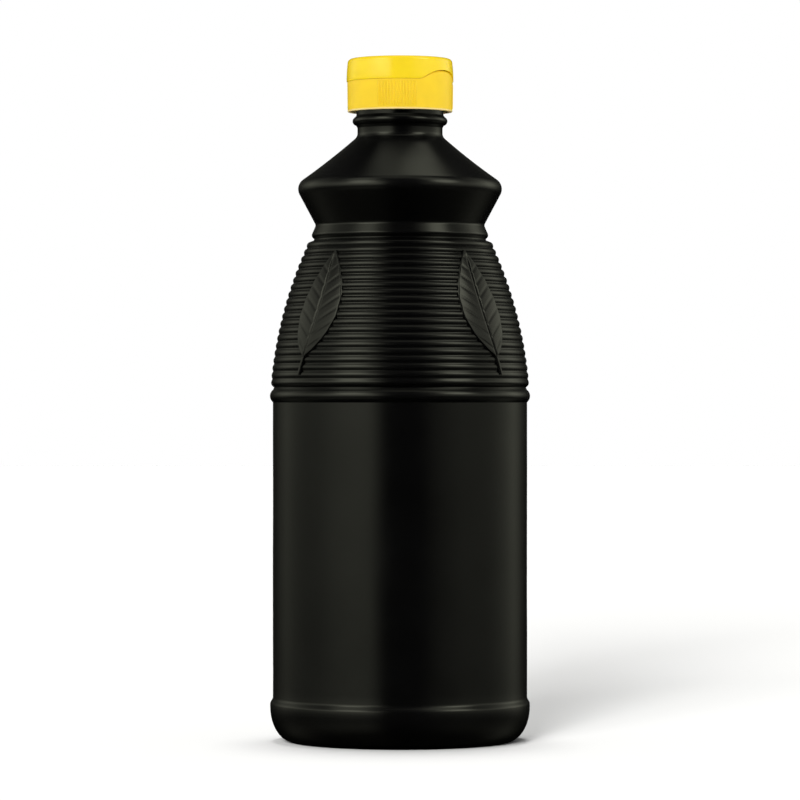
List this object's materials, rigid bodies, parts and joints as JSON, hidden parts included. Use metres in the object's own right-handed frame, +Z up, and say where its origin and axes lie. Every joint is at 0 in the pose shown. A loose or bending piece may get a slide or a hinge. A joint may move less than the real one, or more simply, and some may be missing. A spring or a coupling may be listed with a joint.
{
  "type": "coffee syrup bottle",
  "caption": "Tall round plastic syrup bottle with a ribbed, waisted upper body, leaf relief, smooth label panel and a shut flip-top dispensing cap.",
  "frame": {"origin": "centre of the bottle's foot, on the plane it stands on", "axes": "+Z up along the bottle's axis, front facing -Y, +X to the right of someone facing the front"},
  "size_m": [0.0884, 0.0884, 0.2318],
  "materials": {
    "bottle_plastic": "satin black blow-moulded polyethylene",
    "cap_plastic": "smooth yellow injection-moulded polypropylene"
  },
  "bodies": {
    "root": {"bottle": "bottle_plastic", "cap_base": "cap_plastic", "cap_lid": "cap_plastic"}
  },
  "joints": []
}
